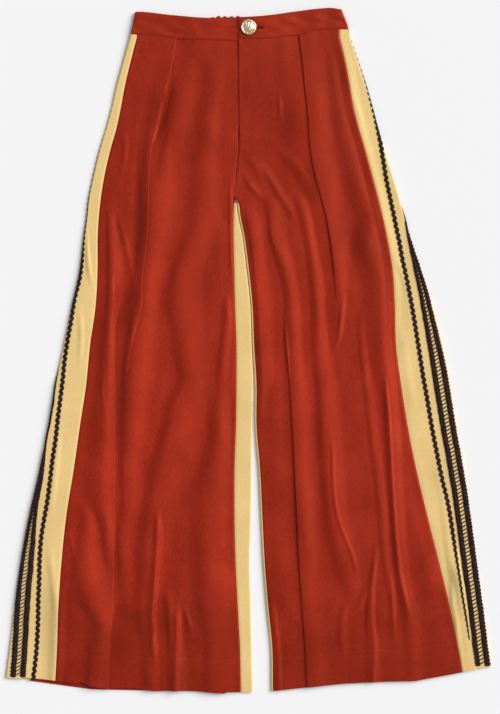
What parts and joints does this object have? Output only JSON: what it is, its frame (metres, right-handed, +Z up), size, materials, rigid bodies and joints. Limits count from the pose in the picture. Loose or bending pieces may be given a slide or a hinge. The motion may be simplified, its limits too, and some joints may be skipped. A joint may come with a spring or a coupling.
{
  "type": "wide-leg trousers laid flat",
  "caption": "Wide-leg trousers laid flat, front up, with a pleat each side, contrast side panels with braid trims, inseam wedges and a gathered back waistband.",
  "frame": {"origin": "on the surface that the trousers lie on, under the middle of their outline", "axes": "+Y along the trousers from hem to waist, +X towards the wearer's left leg, +Z up out of the front"},
  "size_m": [0.7482, 1.0526, 0.0133],
  "materials": {
    "rust_cloth": "fine satin-faced twill with a mild sheen",
    "yellow_cloth": "plain matt weave",
    "braid": "crocheted cotton thread",
    "gilt": "polished pale gilt with a hammered dome"
  },
  "bodies": {
    "root": {"front_panel_right": "rust_cloth", "front_panel_left": "rust_cloth", "back_panel_right": "rust_cloth", "back_panel_left": "rust_cloth", "side_panel_right": "yellow_cloth", "side_panel_left": "yellow_cloth", "inseam_panel_right": "yellow_cloth", "inseam_panel_left": "yellow_cloth", "waistband_front_right": "rust_cloth", "waistband_front_left": "rust_cloth", "waistband_back": "rust_cloth", "rickrack_right": "braid", "rickrack_left": "braid", "ladder_braid_right": "braid", "ladder_braid_left": "braid", "button": "gilt"}
  },
  "joints": []
}
